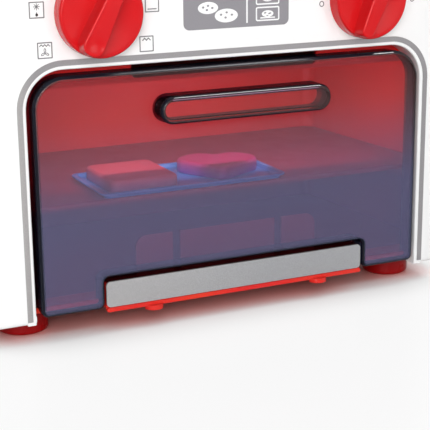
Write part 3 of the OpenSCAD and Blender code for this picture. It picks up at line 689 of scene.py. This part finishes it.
def makeKnobSigns(signs):
    sheet = bmesh.new()
    line = signs["line"]
    for key in ("fanPlace", "grillPlace", "thawPlace", "bottomHeatPlace", "bothHeatPlace", "fanOnlyPlace"):
        addFrame(sheet, *signs[key], *signs["frameSize"], line, signs["corner"])
    drawIn(addZigzag, sheet, signs["fanPlace"], signs["fanGrill"])
    drawIn(addFan, sheet, signs["fanPlace"], signs["fan"])
    drawIn(addZigzag, sheet, signs["grillPlace"], signs["grill"])
    drawIn(addSpokes, sheet, signs["thawPlace"], signs["star"], signs["starTurns"])
    drawIn(addDrop, sheet, signs["thawPlace"], signs["drop"])
    up, reach = signs["heatUp"], signs["heatReach"]
    x, z = signs["bottomHeatPlace"]
    addLevelBar(sheet, x, z - up, reach, line)
    x, z = signs["bothHeatPlace"]
    for level in (z - up, z + up):
        addLevelBar(sheet, x, level, reach, line)
    drawIn(addFan, sheet, signs["fanOnlyPlace"], signs["fanAlone"])
    for x in signs["ringXs"]:
        openUp(sheet, addOval(sheet, x, signs["ringZ"], *signs["ringSize"]), signs["ringWidth"])
    finishPrint("knobSigns", sheet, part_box("front_panel")[0].y, signs["ink"], "signInk")


displaySigns = {
    "ink": 0.06,
    "dotInk": 0.03,
    "biscuits": [(-17.9, 180.2, 12.3, 6.6), (-6.7, 175.5, 14.2, 7.6)],      # middle and size
    "dots": [(-20.9, 180.6), (-17.9, 181.4), (-15.3, 180.1), (-18.6, 179.1),
             (-10.0, 176.1), (-6.5, 177.2), (-3.3, 175.8), (-7.2, 174.4)],
    "dotSize": (1.45, 1.15),
    "dividerX": 6.15,
    "dividerHeights": (171.0, 190.5),
    "dividerWidth": 0.9,
    "frameX": 19.2,
    "lowFrame": 175.2,
    "topFrame": 184.3,
    "frameSize": (15.0, 8.0),
    "frameLine": 0.8,
    "frameCorner": 1.1,
    "boardDown": 2.2,       # lower frame: a loaf on a board
    "boardReach": 4.4,
    "boardWidth": 0.7,
    "loafSize": (7.4, 3.8),
    "loafSpots": [(-1.6, 0.5, 1.6, 0.8), (1.3, 0.1, 2.0, 0.8), (-0.2, -1.1, 1.5, 0.5)],
    "spotTurn": 12,
    "pieSize": (7.6, 4.6),  # upper frame: a round pie with its cuts
    "pieRim": 0.7,
    "pieCuts": (30, 90, 150),
    "cutReach": (2.6, 1.5),
    "cutWidth": 0.5,
}


def makeDisplaySigns(signs, faceY):
    sheet = bmesh.new()
    for biscuit in signs["biscuits"]:
        addOval(sheet, *biscuit, sides=48)
    x = signs["dividerX"]
    low, high = signs["dividerHeights"]
    addBar(sheet, (x, low), (x, high), signs["dividerWidth"])
    x, low, top = signs["frameX"], signs["lowFrame"], signs["topFrame"]
    for z in (low, top):
        addFrame(sheet, x, z, *signs["frameSize"], signs["frameLine"], signs["frameCorner"])
    addLevelBar(sheet, x, low - signs["boardDown"], signs["boardReach"], signs["boardWidth"])
    addOval(sheet, x, low, *signs["loafSize"])
    openUp(sheet, addOval(sheet, x, top, *signs["pieSize"]), signs["pieRim"])
    addSpokes(sheet, x, top, signs["pieCuts"], *signs["cutReach"], signs["cutWidth"])
    finishPrint("displaySigns", sheet, faceY, signs["ink"], "displayInk")


def makeDisplayDots(signs, faceY):
    sheet = bmesh.new()
    for x, z in signs["dots"]:
        addOval(sheet, x, z, *signs["dotSize"], sides=16)
    for dx, dz, wide, high in signs["loafSpots"]:
        addOval(sheet, signs["frameX"] + dx, signs["lowFrame"] + dz, wide, high,
                signs["spotTurn"], sides=16)
    finishPrint("displayDots", sheet, faceY - signs["ink"] * mm, signs["dotInk"], "greyLabel")


makeKnobSigns(knobSigns)
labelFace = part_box("display_label")[0].y
makeDisplaySigns(displaySigns, labelFace)
makeDisplayDots(displaySigns, labelFace)
print("signs printed")


def whiteTable(name, look):
    # a white floor that the camera sees plain white, with painted red bounce light close under the oven,
    # and dark in mirror images
    material, tree, shader, place = startMaterial(name)
    fade = spread(tree, partOf(tree, place, "Y"), 1, look["fadeLevel"], *look["fade"])
    around = tree.nodes.new("ShaderNodeAmbientOcclusion")
    around.inputs["Distance"].default_value = look["openTo"]
    openness = around.outputs["AO"]
    # painted red bounce light where the floor is closed in under the oven
    lit = blendColours(tree, spread(tree, openness, 0, 1, *look["closeWithin"]),
                       look["paintedRedBounce"], look["colour"])
    path = tree.nodes.new("ShaderNodeLightPath")
    seen = tree.nodes.new("ShaderNodeMix")
    seen.inputs["A"].default_value = 1.0
    tree.links.new(path.outputs["Is Glossy Ray"], seen.inputs["Factor"])
    tree.links.new(fade, seen.inputs["B"])
    tree.links.new(blendColours(tree, seen.outputs["Result"], (0.0, 0.0, 0.0), lit),
                   shader.inputs["Base Color"])
    gloss = spread(tree, addNoise(tree, place, look["glossSize"], detail=3), *look["gloss"])
    tree.links.new(gloss, shader.inputs["Roughness"])
    glow = tree.nodes.new("ShaderNodeEmission")
    share = combine(tree, "MULTIPLY", path.outputs["Is Camera Ray"],
                    spread(tree, openness, 0, look["glow"], *look["glowWithin"]))
    surface = mixShaders(tree, share, shader.outputs["BSDF"], glow.outputs["Emission"])
    tree.links.new(surface, tree.nodes["Material Output"].inputs["Surface"])
    return material


def makeFloor(look):
    sheet = bmesh.new()
    bmesh.ops.create_grid(sheet, x_segments=1, y_segments=1, size=look["size"] / 2)
    mesh = bpy.data.meshes.new("floor")
    sheet.to_mesh(mesh)
    sheet.free()
    mesh.materials.append(whiteTable("whiteTable", look))
    floor = bpy.data.objects.new("floor", mesh)
    bpy.context.scene.collection.objects.link(floor)


def aimedAt(direction):
    # a lamp or a camera looks along its own -Z, with Y up
    return direction.to_track_quat("-Z", "Y")


def placeHolder(name, data, place, rotation):
    holder = bpy.data.objects.new(name, data)
    holder.location = place
    holder.rotation_mode = "QUATERNION"
    holder.rotation_quaternion = rotation
    bpy.context.scene.collection.objects.link(holder)
    return holder


def softbox(name, place, aim, size, power):
    lamp = bpy.data.lights.new(name, "AREA")
    lamp.shape = "RECTANGLE"
    lamp.size, lamp.size_y = size
    lamp.energy = power
    holder = placeHolder(name, lamp, place, aimedAt(Vector(aim) - Vector(place)))
    holder.visible_camera = False
    return holder


def lightWorld(strength):
    # soft white light, but plain white to the camera and in mirror images
    world = bpy.data.worlds.new("studio")
    bpy.context.scene.world = world
    world.use_nodes = True
    tree = world.node_tree
    soft = tree.nodes["Background"]
    soft.inputs["Strength"].default_value = strength
    white = tree.nodes.new("ShaderNodeBackground")
    for background in (soft, white):
        background.inputs["Color"].default_value = (1, 1, 1, 1)
    path = tree.nodes.new("ShaderNodeLightPath")
    seen = path.outputs["Is Camera Ray"]
    for ray in ("Is Glossy Ray", "Is Transmission Ray"):
        seen = combine(tree, "MAXIMUM", seen, path.outputs[ray])
    surface = mixShaders(tree, seen, soft.outputs["Background"], white.outputs["Background"])
    tree.links.new(surface, tree.nodes["World Output"].inputs["Surface"])


def placeCamera(view):
    lens = bpy.data.cameras.new("photoCamera")
    lens.lens = view["lens"]
    lens.sensor_width = view["sensor"]
    lens.clip_start = view["nearest"]
    heading, tilt, roll = (math.radians(view[key]) for key in ("heading", "tilt", "roll"))
    forward = Vector((math.sin(heading) * math.cos(tilt),
                      math.cos(heading) * math.cos(tilt),
                      -math.sin(tilt)))
    rotation = aimedAt(forward) @ Quaternion((0, 0, 1), roll)
    bpy.context.scene.camera = placeHolder("photoCamera", lens, view["place"], rotation)


makeFloor(floorLook)
for name, lamp in lighting["lamps"].items():
    softbox(name, **lamp)
cardPieces = bpy.data.collections.new("cardPieces")
for node in lighting["cardPieces"]:
    cardPieces.objects.link(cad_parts[node])
for name, card in lighting["cards"].items():
    holder = softbox(name, **card)
    holder.visible_diffuse = False
    holder.light_linking.receiver_collection = cardPieces
lightWorld(lighting["worldLight"])
placeCamera(camera)
bpy.context.scene.view_settings.view_transform = "Standard"
print("floor, light and camera set")
